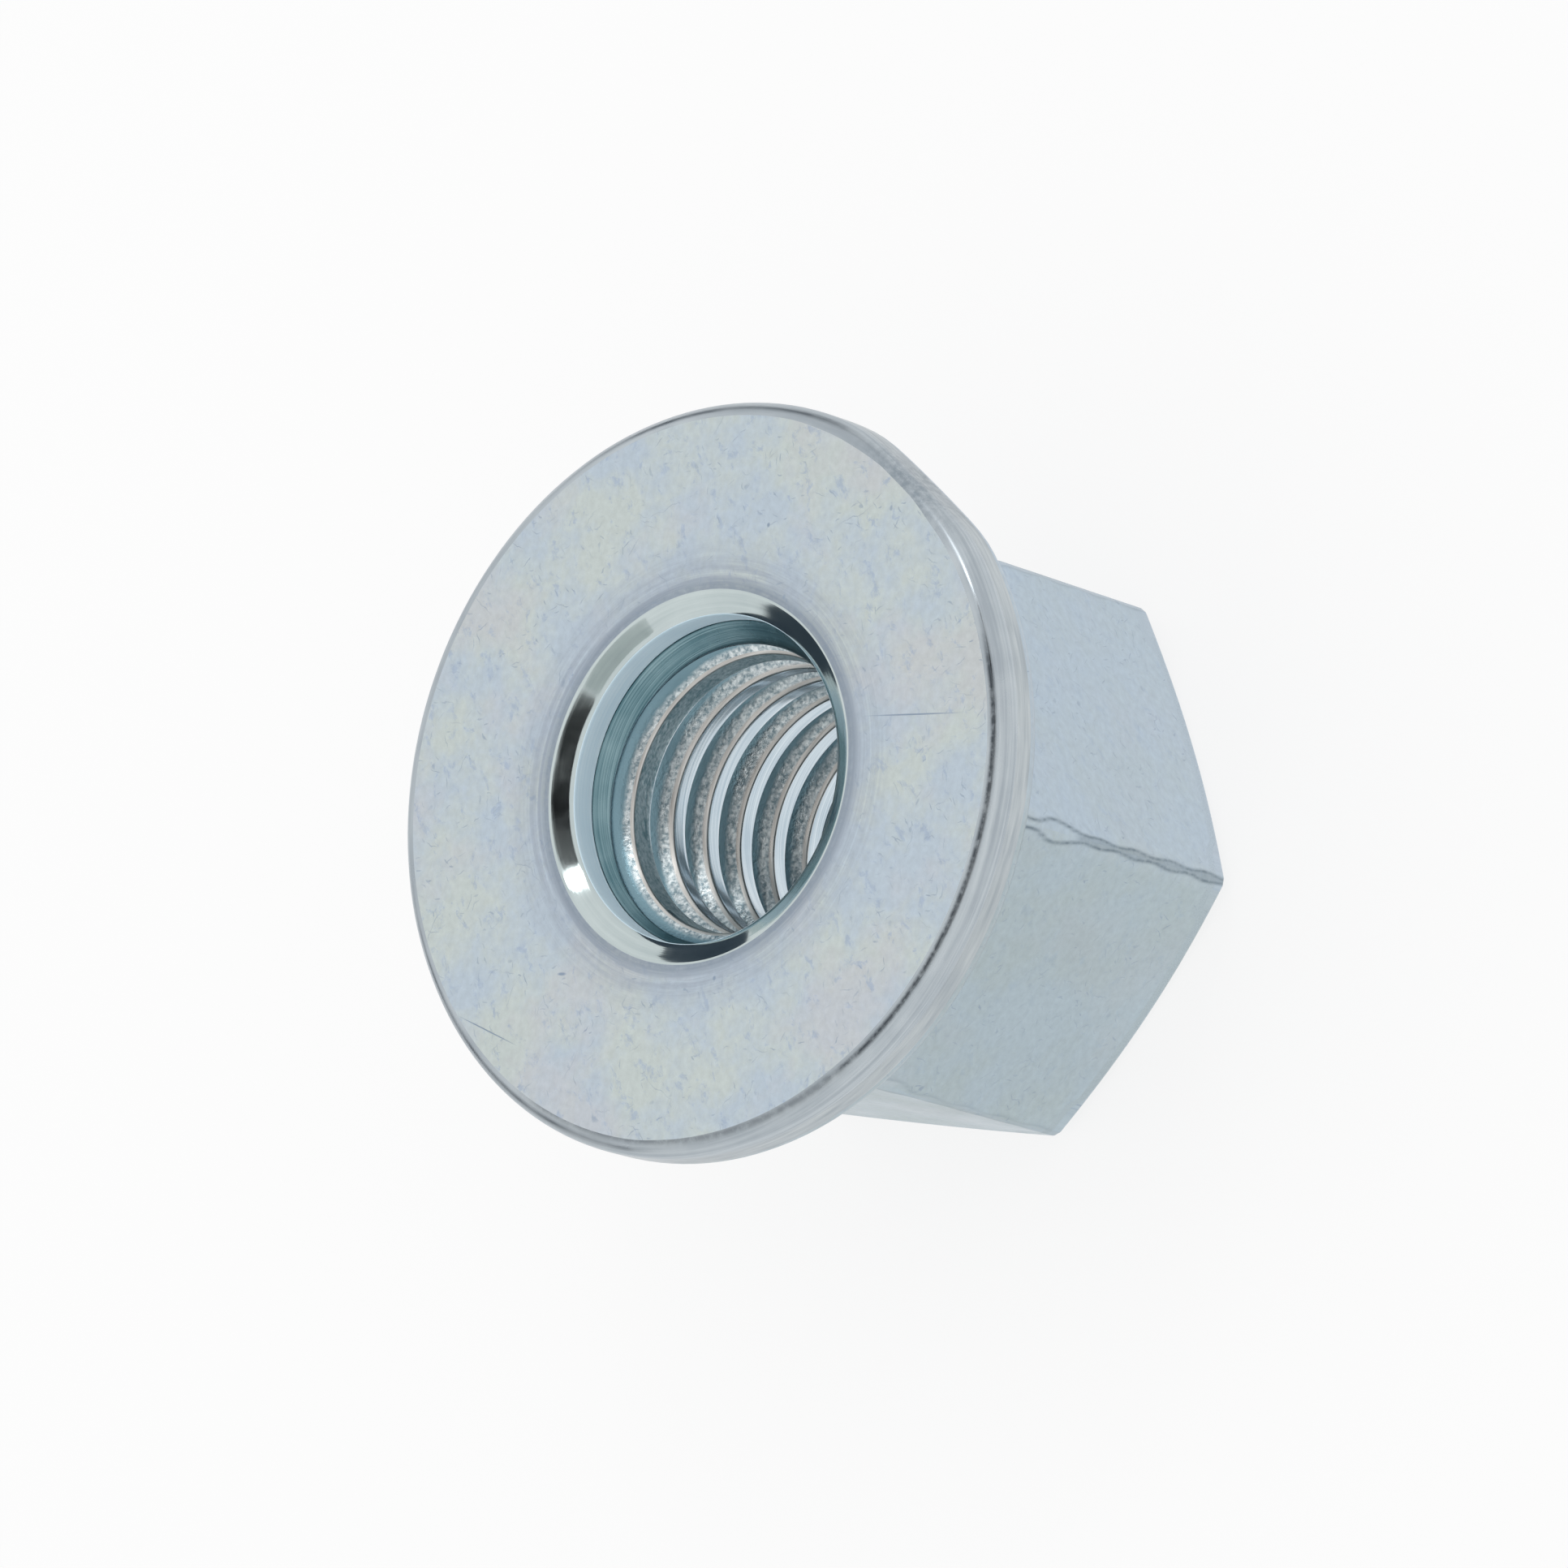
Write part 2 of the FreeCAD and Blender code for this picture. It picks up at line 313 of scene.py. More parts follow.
# The same plate where tools have run round the nut. Fine rings take it from the mirror of the
# countersink and the crests to the satin of the rim. On the wall below the countersink the mirror
# gives way to painted light: a pale colour that is not metallic, so that the wall shows bright
# inside the bore.
streaked = {
    # name: dark streak, light streak, roughness, its spread, streak width and length, depth of the
    # relief, metallic
    "rolledZinc": ("#aab3b9", "#c8cfd2", 0.36, 0.10, 0.11, 1.5, 0.002, 1.0),
    "wornZinc": ("#a7b0b7", "#c4ccd1", 0.32, 0.10, 0.06, 4.0, 0.003, 1.0),
    "brightZinc": ("#b9c5c6", "#cad5d5", 0.08, 0.04, 0.07, 4.0, 0.0008, 1.0),
    # painted light: pale and not metallic, so that the wall below the countersink shows bright
    "paintedLightZinc": ("#d3ebf8", "#e2f5ff", 0.40, 0.08, 0.05, 4.0, 0.002, 0.0),
    "rubbedZinc": ("#86a6af", "#d6e6ea", 0.33, 0.10, 0.06, 0.10, 0.009, 0.75),
    "polishedZinc": ("#b4c4cf", "#d3dfe6", 0.13, 0.06, 0.045, 4.0, 0.001, 1.0),
    "turnedZinc": ("#54767f", "#8eaab1", 0.24, 0.08, 0.016, 4.0, 0.004, 1.0),
    "burredZinc": ("#b3b1ad", "#d8d6d2", 0.30, 0.10, 0.050, 4.0, 0.002, 1.0),
}
# The rim's front edge is smoother on one side. It is dull and grey where the rim was struck, and a
# dark line of painted reflection runs along it.
rimEdge = {
    "azimuth": -94.0,             # of the smoother side
    "smoothEdges": (4.0, 5.2),    # how far out that way the smoother part starts and is full
    "smoother": 0.12,             # by which its roughness is less
    "wornGain": 1.6,              # how the wear falls off round the rim, from the cosine of the angle
    "wornLess": 0.1,
    "struck": "#8b969f",
    # painted reflection: the dark line along the rim's front edge
    "line": "#30373e",
}


def makeStreaked(name):
    dark, light, rough, roughSpread, width, length, depth, metallic = streaked[name]
    material, addNode = startMaterial(name, metallic=metallic)
    place = placeOnNut(addNode)
    inputs = {"Vector": place, "Scale": (length, length, width)}
    alongStreaks = addNode("Mapping", inputs, vector_type="TEXTURE")
    streaks = addNode("TexNoise", {"Vector": alongStreaks, **grains(1, 3.0, 0.6)}, "Fac")
    blotches = addNode("TexNoise", {"Vector": place, **grains(1 / 1.1, 3.0, 0.5)}, "Fac")
    fromStreaks = addNode("Math", (streaks, 0.65), operation="MULTIPLY")
    fromBlotches = addNode("Math", (blotches, 0.35), operation="MULTIPLY")
    both = addNode("Math", (fromStreaks, fromBlotches), operation="ADD")
    pale = addNode("MapRange", (both, 0.38, 0.62))
    struck = addNode("Attribute", output="Fac", attribute_name="struck")
    speckled = addNode("TexNoise", {"Vector": place, **grains(1 / 7, 4.0, 0.7)}, "Fac")
    speckled = addNode("MapRange", (speckled, 0.38, 0.6, 0.9, 0.3))
    dull = addNode("Math", (struck, speckled), operation="MULTIPLY")
    # the painted reflection along the rim's front edge, broken up by noise
    line = addNode("Attribute", output="Fac", attribute_name="paintedEdgeReflection")
    broken = addNode("TexNoise", {"Vector": place, **grains(0.2, 3.0, 0.7)}, "Fac")
    broken = addNode("MapRange", (broken, 0.35, 0.55, 0.6, 1.0))
    paintedDarkening = addNode("Math", (line, broken), operation="MULTIPLY")
    layers = [(pale, light), (dull, rimEdge["struck"]), (paintedDarkening, rimEdge["line"])]
    colour = layered(addNode, linear(dark), layers)
    roughness = addNode("MapRange", (blotches, 0.35, 0.65, rough - roughSpread / 2, rough + roughSpread))
    if name == "wornZinc":
        azimuth = math.radians(rimEdge["azimuth"])
        way = (math.cos(azimuth), math.sin(azimuth), 0)
        toward = addNode("VectorMath", (place, way), "Value", operation="DOT_PRODUCT")
        less = addNode("MapRange", (toward, *rimEdge["smoothEdges"], 0.0, rimEdge["smoother"]))
        roughness = addNode("Math", (roughness, less), operation="SUBTRACT")
    return finishMaterial(material, addNode, colour, roughness, streaks, depth)


# The same plate on the flanks that the tap has cut: grainy and half matt, teal and darker toward the
# root.
tapped = {
    "dark": "#879ba3",                # the torn middle, dark and light grains
    "light": "#eef5f6",
    "root": "#7f9fab",                # teal and darker near the root
    "rootEdges": (2.82, 2.90),        # radius where it starts and is full
    "besideCrest": "#c4c2bf",
    "crestEdges": (2.72, 2.65),
    "metallic": 0.72,
    "grain": (0.09, 4.0, 0.65),       # size, detail and roughness of the torn grain
    "areas": (1.4, 1.4, 0.25),        # stretch of the wider areas
    "waviness": 0.12,
    "rough": (0.18, 0.36),
    "depth": 0.007,
}


def makeTapped():
    material, addNode = startMaterial("cutZinc", metallic=tapped["metallic"])
    place = placeOnNut(addNode)
    grain = addNode("TexNoise", {"Vector": place, **grains(*tapped["grain"])}, "Fac")
    wide = addNode("Mapping", {"Vector": place, "Scale": tapped["areas"]}, vector_type="TEXTURE")
    areas = addNode("TexNoise", {"Vector": wide, **grains(1, 3.0, 0.5)}, "Fac")
    wave = addNode("Math", (areas, tapped["waviness"]), operation="MULTIPLY")
    wavy = addNode("Math", (distanceOut(addNode, place), wave), operation="ADD")
    pale = addNode("MapRange", (grain, 0.38, 0.62))
    atRoot = addNode("MapRange", (wavy, *tapped["rootEdges"]))
    atCrest = addNode("MapRange", (wavy, *tapped["crestEdges"]))
    layers = [(pale, tapped["light"]), (atRoot, tapped["root"]), (atCrest, tapped["besideCrest"])]
    colour = layered(addNode, linear(tapped["dark"]), layers)
    rough = addNode("MapRange", (areas, 0.35, 0.65, *tapped["rough"]))
    return finishMaterial(material, addNode, colour, rough, grain, tapped["depth"])


# The nut's section, its wear, its painted shade and reflection, and the columns of faces round it.
nut = {
    "height": high.z / mm,
    "rim": high.x / mm,           # radius of the flange
    "flats": 5.0,                 # from the axis to a flat of the hexagon
    "rimHeight": 1.0,
    "flangeSlope": 25.0,
    "frontRound": 0.3,            # bearing face to rim
    "roundWidth": 0.176,          # width and height of the slope in the middle of a plain rounding
    "edgeWidth": 0.3,             # and of the worn slope on the side of the smoother edge
    "edgeHeight": 0.218,
    "narrowestSlope": 0.12,       # at the dent
    "backRound": 0.38,            # rim to the back of the flange
    "neckRound": 0.5,             # back of the flange to the hexagon
    "endRing": 4.6,               # radius of the flat ring at the hexagon end
    "endSlope": 20.0,             # of the chamfer outside that ring
    "endRound": 0.12,
    "cornerFacet": 0.07,          # half the width of the worn strip along each corner
    "stripEnds": (0.9, 6.4),      # heights where its unevenness has faded out
    "stripFade": 0.4,
    "stripShade": 0.5,            # painted shade: how dark the strip is, up to this height
    "stripShadeTo": 5.0,
    "cornerShadeLine": 0.02,           # how far in the painted shade line along each of its sides fades
    "linedCorner": 4,             # the corner on the -Y side, where that painted shade line is dark
    "otherCorners": 0.3,          # how dark it is at the others
    "wall": (0.4, 6.6),           # heights between which lies the hexagon's wall
    "dent": {                     # where the rim was struck flat
        "azimuth": -33.0, "halfAngle": 0.6, "depth": 0.16, "soften": 0.04, "narrower": 0.15,
    },
    "rimMarks": 6.3,              # radius from which the dent and the painted edge reflection are put on
    "paintedEdgeReflection": {                 # painted reflection: a dark line where the bearing face turns down into the rim
        "radius": 6.71,
        "deepest": 0.16,          # below the bearing face
        "fade": 8.0,              # degrees
        "stretches": [            # azimuth of its middle, half its length in degrees, width, strength
            (-103.0, 42.0, 0.045, 0.95),
            (-170.0, 38.0, 0.075, 0.5),
        ],
    },
    "lumps": (5.6, 0.8, 0.17),    # height, spread and width of the battered place on each corner
    "flatColumns": 24,            # columns of faces across each flat
    "cornerColumns": 34,          # and at each corner, where they are closer together
    "cornerSpan": 7.0,            # degrees
    "hoopMiddle": 5,              # radius and height of the ring of points before it is shaped
    "hoopSweep": 350,             # degrees
}
bore = {
    "root": 3.0,                  # radius at the roots of the thread
    "crest": 2.55,
    "pitch": 1.0,
    "start": 0.51,                # height of a root where it crosses +X
    "rootFlat": 0.0625,           # half of it, along the axis
    "flank": 30.0,                # from the plane across the axis
    "crestRound": 0.045,
    "rootRound": 0.09,
    "relief": 3.05,
    "reliefDepth": 0.75,          # below the bearing face
    "cone": 40.0,                 # half angle of the cone that cuts off the first crest
    "coneEnd": 1.33,              # depth down to which it reaches
    "rubbedEnd": 2.1,             # and down to which the crest is rough
    "worn": 2.4,                  # depth down to which the crests are rubbed a little wider
    "wornSlope": 6.0,
    "mouth": 3.45,                # radius of the countersink at the bearing face
    "mouthSlope": 30.0,
    "lipRound": 0.10,
    "endMouth": 3.25,             # radius of the 45 degree countersink at the hexagon end
}


def boreRadius(height):
    # Radius of the bore before it is threaded, at this height.
    fromTop = nut["height"] - height
    cone = bore["relief"] - (fromTop - bore["reliefDepth"]) * math.tan(math.radians(bore["cone"]))
    worn = bore["crest"] + (bore["worn"] - fromTop) * math.tan(math.radians(bore["wornSlope"]))
    return min(max(bore["crest"], bore["endMouth"] - height, worn, cone), bore["relief"])


def grooveRadius(height, middle):
    # Radius of the thread's groove at this height, for a root at the height middle.
    offRoot = max(0.0, abs(height - middle) - bore["rootFlat"])
    return bore["root"] - offRoot / math.tan(math.radians(bore["flank"]))


def edgeOfGroove(inside, outside, middle):
    # Height between inside and outside where the groove runs out into the plain bore.
    for step in range(30):
        half = (inside + outside) / 2
        if grooveRadius(half, middle) > boreRadius(half):
            inside = half
        else:
            outside = half
    return (inside + outside) / 2


def groove(middle):
    # The four corners of one turn's section, from the bearing face's side down. Where the turn
    # has run out into a mouth they are one point of the plain wall.
    halfway = nut["height"] / 2
    near = min(max(halfway, middle - bore["rootFlat"]), middle + bore["rootFlat"])
    if grooveRadius(near, middle) <= boreRadius(near):
        lowest = bore["endMouth"] - bore["root"]
        highest = nut["height"] - bore["reliefDepth"]
        highest -= (bore["relief"] - bore["root"]) / math.tan(math.radians(bore["cone"]))
        place = min(max(near, lowest), highest)
        return [(boreRadius(place), place)] * 4
    top = edgeOfGroove(near, near + bore["pitch"], middle)
    bottom = edgeOfGroove(near, near - bore["pitch"], middle)
    rootTop = min(middle + bore["rootFlat"], top)
    rootBottom = max(middle - bore["rootFlat"], bottom)
    return [(grooveRadius(z, middle), z) for z in (top, rootTop, rootBottom, bottom)]


def rimRadius(angle):
    # The rim is round but for one place where it has been struck flat.
    dent = nut["dent"]
    away = (angle - math.radians(dent["azimuth"]) + math.pi) % (2 * math.pi) - math.pi
    if abs(away) > dent["halfAngle"]:
        return nut["rim"]
    struck = (nut["rim"] - dent["depth"]) / math.cos(away)
    gap = (struck - nut["rim"]) / dent["soften"]
    if gap >= 40:
        return nut["rim"]
    return nut["rim"] - dent["soften"] * math.log(1 + math.exp(-max(-40, gap)))


def reflectionAlongEdge(angle, reach, height):
    # How dark the painted reflection along the rim's front edge is here. It is thin and dark for a
    # stretch, then wider and paler.
    paintedEdgeReflection = nut["paintedEdgeReflection"]
    if height < nut["height"] - paintedEdgeReflection["deepest"]:
        return 0.0
    darkest = 0.0
    for azimuth, half, width, strength in paintedEdgeReflection["stretches"]:
        away = abs((math.degrees(angle) - azimuth + 180) % 360 - 180)
        share = min(1.0, max(0.0, (half - away) / paintedEdgeReflection["fade"]))
        offLine = (reach - paintedEdgeReflection["radius"]) / width
        darkest = max(darkest, share * strength * math.exp(-offLine ** 2))
    return darkest


def hexagonRadius(angle):
    # Distance from the axis to the hexagon's wall, with a worn strip along each corner.
    fromFlat = math.radians((math.degrees(angle) + 30) % 60 - 30)
    fromCorner = math.radians(math.degrees(angle) % 60 - 30)
    corner = nut["flats"] / math.cos(math.radians(30))
    strip = corner - nut["cornerFacet"] * math.tan(math.radians(30))
    return min(nut["flats"] / math.cos(fromFlat), strip / math.cos(fromCorner))


def batteredStrip(angle, height):
    # How far out the corner's strip lets the wall reach: it is wider and lumpy near the flange.
    index = math.floor(math.degrees(angle) / 60)
    fromCorner = math.radians(math.degrees(angle) % 60 - 30)
    along = height + index * 2.3
    lumps = 0.55 + 0.28 * math.sin(along * 3.1) + 0.17 * math.sin(along * 6.3 + 1.0)
    middle, spread, width = nut["lumps"]
    nearFlange = math.exp(-((height - middle) / spread) ** 2)
    half = nut["cornerFacet"] * (0.85 + 0.35 * math.sin(along * 5.7)) + width * nearFlange * lumps
    corner = nut["flats"] / math.cos(math.radians(30))
    return (corner - half * math.tan(math.radians(30))) / math.cos(fromCorner)


def crestFinish(height):
    # The turned cone comes first, then the first crest, which is rubbed and rough.
    fromTop = nut["height"] - height
    if fromTop < bore["coneEnd"]:
        return "cone"
    return "rubbed" if fromTop < bore["rubbedEnd"] else "crest"


def section(angle):
    # Corners of the nut's section at this angle, from the inner edge of the hexagon end round the
    # outside and back down the bore. Each is radius, height, rounding, points on the rounding,
    # points on the run after it, finish of the rounding and finish of that run.
    top = nut["height"]
    tanFlange = math.tan(math.radians(nut["flangeSlope"]))
    tanEnd = math.tan(math.radians(nut["endSlope"]))
    wall = hexagonRadius(angle)
    rim = rimRadius(angle)
    struck = (nut["rim"] - rim) / nut["dent"]["depth"]
    fromWorn = angle - math.radians(rimEdge["azimuth"])
    worn = min(1.0, max(0.0, math.cos(fromWorn) * rimEdge["wornGain"] - rimEdge["wornLess"]))
    slopeWidth = nut["roundWidth"] + worn * (nut["edgeWidth"] - nut["roundWidth"])
    slopeWidth = max(nut["narrowestSlope"], slopeWidth - struck * nut["dent"]["narrower"])
    slopeHeight = nut["roundWidth"] + worn * (nut["edgeHeight"] - nut["roundWidth"])
    rimBack = top - nut["rimHeight"]
    neckHeight = rimBack - (nut["rim"] - wall) * tanFlange
    countersink = (bore["mouth"] - bore["relief"]) * math.tan(math.radians(bore["mouthSlope"]))
    corners = [
        (bore["endMouth"], 0, 0.05, 3, 3, "skin", "skin"),
        (nut["endRing"], 0, 0.1, 3, 2, "skin", "skin"),
        (wall, (wall - nut["endRing"]) * tanEnd, nut["endRound"], 5, 34, "skin", "skin"),
        (wall, neckHeight, nut["neckRound"], 7, 2, "skin", "rolled"),
        (rim, rimBack - (nut["rim"] - rim) * tanFlange, nut["backRound"], 9, 1, "skin", "rolled"),
        (rim, top - slopeHeight, nut["frontRound"], 7, 2, "edge", "edge"),
        (rim - slopeWidth, top, nut["frontRound"], 8, 10, "edge", "skin"),
        (bore["mouth"], top, bore["lipRound"], 6, 3, "bright", "bright"),
        (bore["relief"], top - countersink, 0.03, 3, 6, "relief", "relief"),
        (bore["relief"], top - bore["reliefDepth"], 0.05, 4, 5, "cone", "cone"),
    ]
    # The first and the last turns have run out at every angle. So the sections at 0 and at a full
    # turn, where the turns are counted one apart, have the same points.
    turns = math.ceil(top / bore["pitch"]) + 1
    for turn in range(turns, -3, -1):
        middle = bore["start"] + bore["pitch"] * (turn + angle / (2 * math.pi))
        outer, rootTop, rootBottom, inner = groove(middle)
        below = groove(middle - bore["pitch"])[0]
        burr = [(atCrest * 5 + atRoot) / 6 for atCrest, atRoot in zip(inner, rootBottom)]
        corners += [
            (*outer, bore["crestRound"], 3, 1, "crest", "flank"),
            (*rootTop, bore["rootRound"], 2, 0, "flank", "flank"),
            (*rootBottom, bore["rootRound"], 2, 1, "flank", "flank"),
            (*burr, 0, 1, 0, "burr", "burr"),
            (*inner, bore["crestRound"], 4, 0, "burr", crestFinish(inner[1])),
        ]
        for step in (1, 2, 3):
            height = inner[1] + (below[1] - inner[1]) * step / 4
            finish = crestFinish(height)
            corners.append((boreRadius(height), height, 0, 1, 0, finish, finish))
    return corners


def roundedOutline(corners):
    # Points along a closed outline whose corners are rounded, each with the finish after it.
    points = []
    count = len(corners)
    for index, corner in enumerate(corners):
        radius, height, rounding, arcPoints, runPoints, arcFinish, runFinish = corner
        here = Vector((radius, height))
        before = Vector(corners[index - 1][:2]) - here
        after = Vector(corners[(index + 1) % count][:2]) - here
        shortest = min(before.length, after.length)
        arc = [here] * arcPoints
        if arcPoints > 1 and shortest > 1e-6:
            half = before.angle(after) / 2
            if 0.01 < half < math.radians(89.9):
                tangent = min(rounding / math.tan(half), 0.45 * shortest)
                start = here + before.normalized() * tangent
                end = here + after.normalized() * tangent
                centre = here + ((start + end) / 2 - here) / math.cos(half) ** 2
                toCorner = (here - centre).normalized()
                sign = 1 if toCorner.cross(end - centre) > 0 else -1
                reach = (start - centre).length
                arc = []
                for step in range(arcPoints):
                    swing = (step / (arcPoints - 1) - 0.5) * (math.pi - 2 * half)
                    arc.append(centre + Matrix.Rotation(sign * swing, 2) @ toCorner * reach)
        for step, point in enumerate(arc):
            last = step == arcPoints - 1
            points.append((point, runPoints if last else 0, runFinish if last else arcFinish))
    outline = []
    for index, (point, runPoints, finish) in enumerate(points):
        following = points[(index + 1) % len(points)][0]
        for step in range(runPoints + 1):
            outline.append((point.lerp(following, step / (runPoints + 1)), finish))
    return outline


def columnAngles():
    # Angles of the columns of faces, from 0 to a full turn, the first and last being one line.
    # Each sixth goes from the middle of a flat over a corner to the middle of the next.
    half = nut["cornerSpan"] / 2
    flatSteps = nut["flatColumns"] // 2
    cornerSteps = nut["cornerColumns"]
    angles = []
    for sixth in range(6):
        first = 60 * sixth
        angles += [first + (30 - half) * step / flatSteps for step in range(flatSteps)]
        angles += [first + 30 - half + 2 * half * step / cornerSteps for step in range(cornerSteps)]
        angles += [first + 30 + half + (30 - half) * step / flatSteps for step in range(flatSteps)]
    return [math.radians(angle) for angle in angles + [360]]


def onSkin(x, y, z, side):
    # Where a point lies on the unrolled skin: in plan on the two ends, and along the flats. The
    # three lie apart, so that no pattern shows twice.
    reach = math.hypot(x, y)
    if z > nut["height"] - nut["frontRound"] - 0.01:
        return x, y
    if z < (reach - nut["endRing"]) * 0.7:
        return x - 20, y
    tangent = -x * math.sin(side * math.pi / 3) + y * math.cos(side * math.pi / 3)
    return 20 + side * 7 + tangent, z


def spinHoop(rows, columns):
    # A ring of points is spun into an open hoop. Each of its vertices has a column and a row.
    middle = nut["hoopMiddle"]
    sweep = math.radians(nut["hoopSweep"])
    bpy.ops.object.select_all(action="DESELECT")
    bpy.ops.mesh.primitive_circle_add(
        vertices=rows, radius=2 * mm, location=(middle * mm, 0, middle * mm),
        rotation=(math.pi / 2, 0, 0), calc_uvs=False)
    bpy.ops.object.transform_apply(location=True, rotation=True, scale=True)
    piece = bpy.context.object
    piece.name = "flangeNut"
    hoop = piece.modifiers.new("hoop", "SCREW")
    hoop.axis = "Z"
    hoop.angle = sweep
    hoop.steps = hoop.render_steps = columns - 1
    hoop.use_smooth_shade = False
    bpy.ops.object.modifier_apply(modifier=hoop.name)
    columnOf, rowOf = [], []
    for vertex in piece.data.vertices:
        x, y, z = vertex.co / mm
        around = (math.atan2(y, x) + 0.005) % (2 * math.pi) - 0.005
        onRing = math.atan2(z - middle, math.hypot(x, y) - middle)
        columnOf.append(round(around / sweep * (columns - 1)))
        rowOf.append(round(onRing / (2 * math.pi) * rows) % rows)
    print("hoop:", len(columnOf), "points in", max(columnOf) + 1, "columns of", rows)
    return piece, columnOf, rowOf


def shapeHoop(mesh, angles, outlines, columnOf, rowOf):
    # Each column goes to its own section. The corners are worn back, and three values for the
    # materials are painted on the points: the painted shade along the corners' strips, how far the
    # rim was struck, and the painted reflection along the rim's front edge.
    cornerShadeLine, struck, paintedEdgeReflection = [
        mesh.attributes.new(name, "FLOAT", "POINT").data for name in ("cornerShadeLine", "struck", "paintedEdgeReflection")]
    wallBottom, wallTop = nut["wall"]
    stripBottom, stripTop = nut["stripEnds"]
    fade = nut["stripFade"]
    for vertex, column, row in zip(mesh.vertices, columnOf, rowOf):
        angle = angles[column]
        reach, height = outlines[column][row][0]
        if wallBottom < height < wallTop and reach > nut["flats"] - 0.1:
            ease = max(0.0, min(1.0, (height - stripBottom) / fade, (stripTop - height) / fade))
            strip = batteredStrip(angle, height)
            fromFlat = math.radians((math.degrees(angle) + 30) % 60 - 30)
            gap = nut["flats"] / math.cos(fromFlat) - strip
            # painted shade: a dark line along each side of the strip, and the strip darker low down, full
            # at one corner and fainter at the others
            isLined = math.floor(math.degrees(angle) / 60) == nut["linedCorner"]
            onStrip = nut["stripShade"] if gap > 0 and height < nut["stripShadeTo"] else 0.0
            shade = max(onStrip, math.exp(-(gap / nut["cornerShadeLine"]) ** 2))
            cornerShadeLine[vertex.index].value = shade * (1.0 if isLined else nut["otherCorners"])
            reach += ease * (min(reach, strip) - reach)
        if height > wallTop and reach > nut["rimMarks"]:
            struck[vertex.index].value = (nut["rim"] - rimRadius(angle)) / nut["dent"]["depth"]
            # the painted reflection along the rim's front edge
            paintedEdgeReflection[vertex.index].value = reflectionAlongEdge(angle, reach, height)
        vertex.co = (reach * mm * math.cos(angle), reach * mm * math.sin(angle), height * mm)


def giveFinishes(mesh, angles, outlines, columnOf, rowOf):
    # Each face gets the finish of its row in the section, and its place on the unrolled skin.
    finishes = ["skin", "rolled", "edge", "bright", "relief"]
    finishes += ["rubbed", "crest", "cone", "burr", "flank"]
    for material in [makeSkin()] + [makeStreaked(name) for name in streaked] + [makeTapped()]:
        mesh.materials.append(material)
    unrolled = mesh.uv_layers.new(name="unrolled")
    for polygon in mesh.polygons:
        own = [rowOf[v] for v in polygon.vertices]
        row = max(own) if max(own) - min(own) > 1 else min(own)
        column = min(columnOf[v] for v in polygon.vertices)
        polygon.material_index = finishes.index(outlines[column][row][1])
        middle = (angles[column] + angles[column + 1]) / 2
        side = round(math.degrees(middle) / 60) % 6
        for loop in polygon.loop_indices:
            x, y, z = mesh.vertices[mesh.loops[loop].vertex_index].co / mm
            unrolled.data[loop].uv = onSkin(x, y, z, side)


def makeNut():
    angles = columnAngles()
    outlines = [roundedOutline(section(angle)) for angle in angles]
    piece, columnOf, rowOf = spinHoop(len(outlines[0]), len(angles))
    mesh = piece.data
    shapeHoop(mesh, angles, outlines, columnOf, rowOf)
    giveFinishes(mesh, angles, outlines, columnOf, rowOf)
    # the two ends of the hoop meet, the thread a turn higher at one than at the other, and are merged
    bpy.ops.object.mode_set(mode="EDIT")
    bpy.ops.mesh.select_all(action="SELECT")
    bpy.ops.mesh.remove_doubles(threshold=2e-7)
    bpy.ops.mesh.dissolve_degenerate(threshold=1e-7)
    bpy.ops.mesh.normals_make_consistent(inside=False)
    bpy.ops.object.mode_set(mode="OBJECT")
    bpy.ops.object.shade_smooth_by_angle(angle=math.radians(35))
    triangles = sum(len(polygon.vertices) - 2 for polygon in mesh.polygons)
    print("nut:", len(mesh.vertices), "vertices,", triangles, "triangles")
    return piece


piece = makeNut()
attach(piece, "root")
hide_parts("flange_nut")


# A white sweep in a white room. Dark strips above the nut and dark cards behind it give the metal
# something to mirror.
studio = {
    "floor": "#f6f6f6",
    "floorHalf": 300,
    "floorSeen": 0.8,             # how much of the floor's look to the camera is plain white
    "room": 0.95,                 # strength of the white room
    "stripHeight": 250,           # above the bearing face
    "strips": [                   # its two ends, toward the camera and sideways, per mm of height
        ("darkStrip1", (0.00, -0.79), (0.27, -0.38), "#0c0d12"),
        ("darkStrip2", (0.23, -0.44), (0.36, -0.10), "#0c0d12"),
        ("darkStrip3", (0.35, -0.16), (0.33, 0.27), "#0c0d12"),
        ("greyStrip", (0.31, 0.31), (-0.05, 0.82), "#c4cac9"),
    ],
    "stripHalfWidth": 0.07,       # per mm of height
    "rearCards": [                # sideways, per mm away from the camera
        ("rearCardLeft", -0.85, "#3c4854"),
        ("rearCardRight", 0.75, "#36424d"),
    ],
    "rearDistance": 360,
    "rearHalf": (140, 70),
    "lamp": (-0.083, -0.86),      # direction of the small lamp, in the same way as the strips' ends
    "lampDistance": 320,
    "lampSize": 46,
    "lampPower": 0.03,            # watts
}


def addCard(name, centre, alongX, alongY, material):
    # a flat card with its two half sides given as vectors
    bpy.ops.object.select_all(action="DESELECT")
    bpy.ops.mesh.primitive_plane_add(size=2)
    card = bpy.context.object
    card.name = name
    corners = [(-1, -1), (1, -1), (-1, 1), (1, 1)]
    for vertex, (a, b) in zip(card.data.vertices, corners):
        vertex.co = centre + alongX * a + alongY * b
    card.data.materials.append(material)
    return card


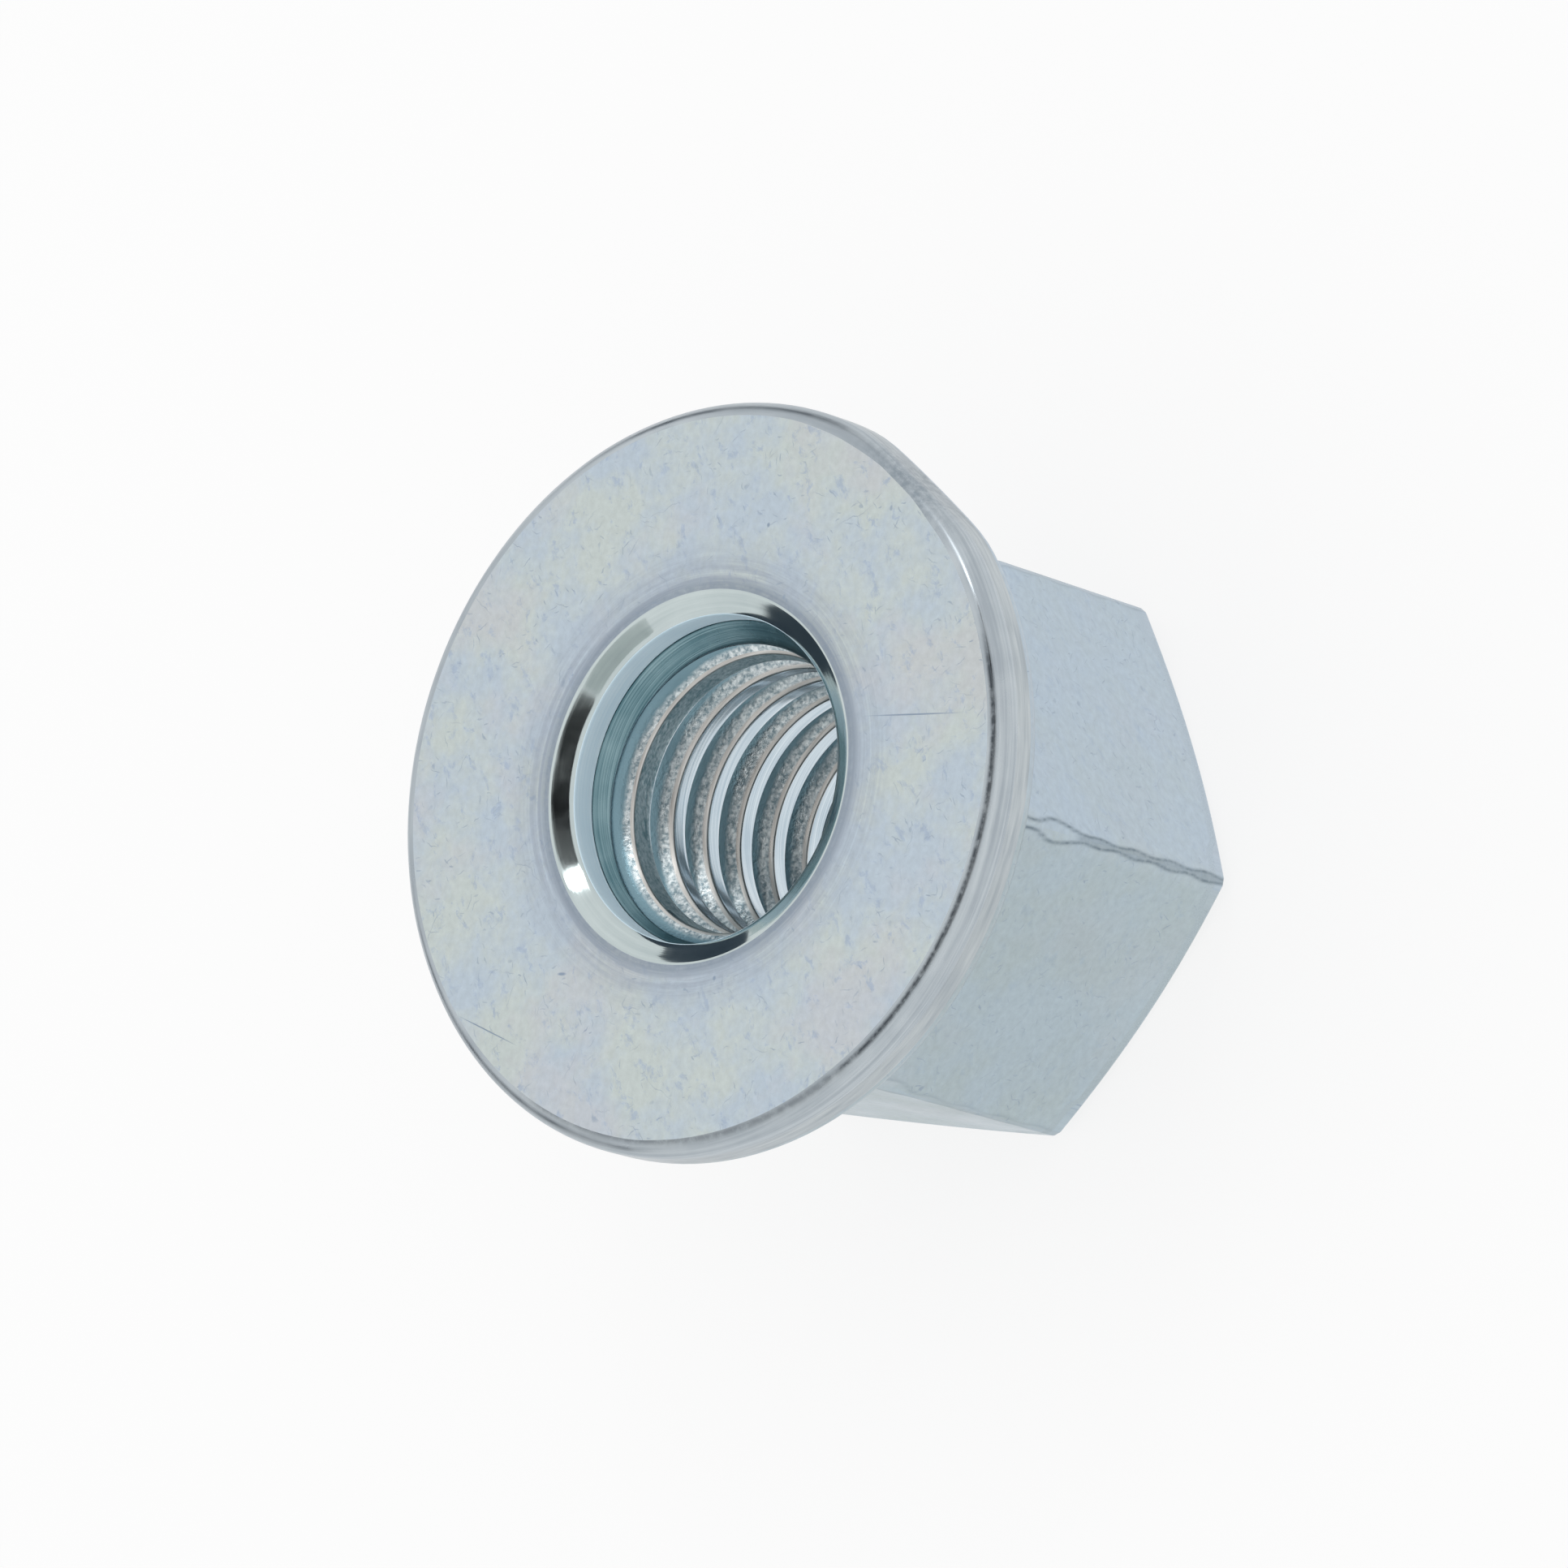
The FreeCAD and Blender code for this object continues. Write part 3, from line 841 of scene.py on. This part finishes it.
def makeFloor():
    material, addNode = startMaterial("whiteSweep", rough=0.9, colour=studio["floor"])
    light = addNode("LightPath", output=None)
    glow = addNode("Emission", {"Color": linear("#ffffff"), "Strength": 1.0})
    rays = (light["Is Glossy Ray"], light["Is Transmission Ray"])
    mirrored = addNode("Math", rays, operation="MAXIMUM")
    seen = addNode("Math", (light["Is Camera Ray"], studio["floorSeen"]), operation="MULTIPLY")
    share = addNode("Math", (mirrored, seen), operation="MAXIMUM")
    tree = material.node_tree
    both = addNode("MixShader", (share, tree.nodes["Principled BSDF"].outputs[0], glow))
    tree.links.new(both, tree.nodes["Material Output"].inputs["Surface"])
    half = studio["floorHalf"] * mm
    addCard("floor", Vector((0, 0, 0)), Vector((half, 0, 0)), Vector((0, half, 0)), material)


def makeCards():
    cards = []
    height = studio["stripHeight"] * mm
    for name, first, last, colour in studio["strips"]:
        start, end = [upward + towardCamera * spot[0] + sideways * spot[1] for spot in (first, last)]
        middle = faceMiddle + (start + end) / 2 * height
        along = (end - start) / 2 * height
        across = upward.cross(end - start).normalized() * studio["stripHalfWidth"] * height
        material = startMaterial(name, rough=1.0, colour=colour)[0]
        cards.append(addCard(name, middle, along, across, material))
    halfWidth, halfHeight = [half * mm for half in studio["rearHalf"]]
    for name, way, colour in studio["rearCards"]:
        away = (sideways * way - towardCamera).normalized()
        middle = away * studio["rearDistance"] * mm + upward * halfHeight
        material = startMaterial(name, rough=1.0, colour=colour)[0]
        cards.append(addCard(name, middle, away.cross(upward) * halfWidth, upward * halfHeight, material))
    for card in cards:
        card.visible_camera = False
        card.visible_diffuse = False
        card.visible_shadow = False
    return cards


def makeLight():
    way = upward + towardCamera * studio["lamp"][0] + sideways * studio["lamp"][1]
    place = faceMiddle + way.normalized() * studio["lampDistance"] * mm
    lamp = bpy.data.objects.new("smallLamp", bpy.data.lights.new("smallLamp", "AREA"))
    lamp.data.size = studio["lampSize"] * mm
    lamp.data.energy = studio["lampPower"]
    facing = (place - faceMiddle).to_track_quat("Z", "Y").to_matrix().to_4x4()
    lamp.matrix_world = Matrix.Translation(place) @ facing
    bpy.context.scene.collection.objects.link(lamp)
    world = bpy.data.worlds.new("whiteRoom")
    bpy.context.scene.world = world
    world.use_nodes = True
    background = world.node_tree.nodes["Background"]
    background.inputs["Color"].default_value = (1, 1, 1, 1)
    background.inputs["Strength"].default_value = studio["room"]


def makeStudio():
    makeFloor()
    cards = makeCards()
    makeLight()
    print("studio: floor,", len(cards), "cards and one lamp")


makeStudio()
bpy.context.scene.view_settings.view_transform = "Standard"
